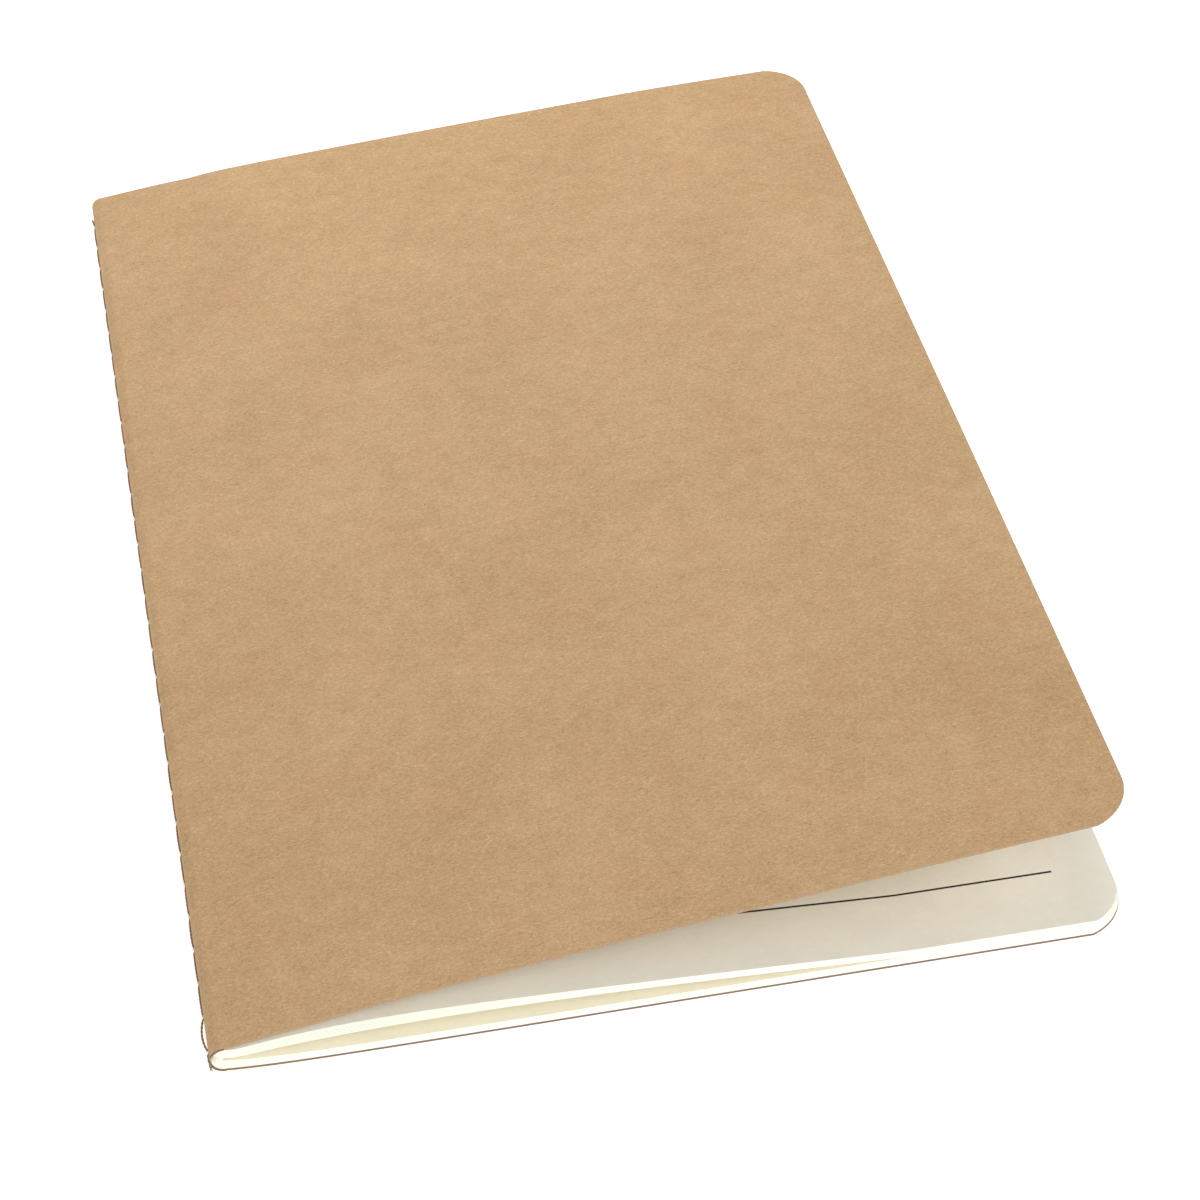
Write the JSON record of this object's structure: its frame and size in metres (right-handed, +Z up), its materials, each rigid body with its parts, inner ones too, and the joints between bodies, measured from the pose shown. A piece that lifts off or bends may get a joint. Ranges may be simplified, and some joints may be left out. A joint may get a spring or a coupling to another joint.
{
  "type": "pocket notebook",
  "caption": "Slim pocket notebook: a single sewn section of folded cream paper in a plain kraft card cover with rounded fore-edge corners, its front cover sprung slightly open.",
  "frame": {"origin": "on the table, at the middle of the closed notebook's footprint, under the flat of the back cover", "axes": "+X from the spine to the fore edge, +Y from the tail to the head, +Z up from the table through the front cover"},
  "size_m": [0.0906, 0.1405, 0.016],
  "materials": {
    "kraft_card": "matt uncoated kraft board with fine fibre flecks",
    "cream_paper": "matt uncoated cream writing paper",
    "sewing_thread": "twisted brown sewing thread",
    "bobbin_thread": "twisted off-white sewing thread"
  },
  "bodies": {
    "back_half": {"back_cover": "kraft_card", "sheet_1_back_leaf": "cream_paper", "sheet_2_back_leaf": "cream_paper", "sheet_3_back_leaf": "cream_paper", "sheet_4_back_leaf": "cream_paper", "sheet_5_back_leaf": "cream_paper", "sheet_6_back_leaf": "cream_paper", "sheet_7_back_leaf": "cream_paper", "sheet_8_back_leaf": "cream_paper"},
    "front_half": {"sheet_1_front_leaf": "cream_paper", "sheet_2_front_leaf": "cream_paper", "sheet_3_front_leaf": "cream_paper", "sheet_4_front_leaf": "cream_paper", "sheet_5_front_leaf": "cream_paper", "sheet_6_front_leaf": "cream_paper", "sheet_7_front_leaf": "cream_paper", "sheet_8_front_leaf": "cream_paper"},
    "front_panel": {"front_cover": "kraft_card"},
    "spine": {"spine_strip": "kraft_card", "sheet_1_fold": "cream_paper", "sheet_2_fold": "cream_paper", "sheet_3_fold": "cream_paper", "sheet_4_fold": "cream_paper", "sheet_5_fold": "cream_paper", "sheet_6_fold": "cream_paper", "sheet_7_fold": "cream_paper", "sheet_8_fold": "cream_paper", "spine_thread": "sewing_thread", "loose_stitch": "sewing_thread", "thread_end": "sewing_thread", "centre_thread": "bobbin_thread"}
  },
  "joints": [
    {"name": "centre_opening", "type": "hinge", "parent": "back_half", "child": "front_half", "pos_m": [-0.0434, 0, 0.0021], "axis": [0, -1, 0], "range_deg": [0, 170], "deforming": ["spine_strip", "sheet_1_fold", "sheet_2_fold", "sheet_3_fold", "sheet_4_fold", "sheet_5_fold", "sheet_6_fold", "sheet_7_fold", "sheet_8_fold"]},
    {"name": "front_cover_hinge", "type": "hinge", "parent": "front_half", "child": "front_panel", "pos_m": [-0.0434, 0, 0.0037], "axis": [0, -1, 0], "range_deg": [-2.2, 165]},
    {"name": "spine_turn", "type": "hinge", "parent": "back_half", "child": "spine", "pos_m": [-0.0434, 0, 0.0021], "axis": [0, -1, 0], "range_deg": [0, 90]}
  ],
  "couplings": [
    {"joint": "spine_turn", "follows": "centre_opening", "ratio": 0.5}
  ]
}
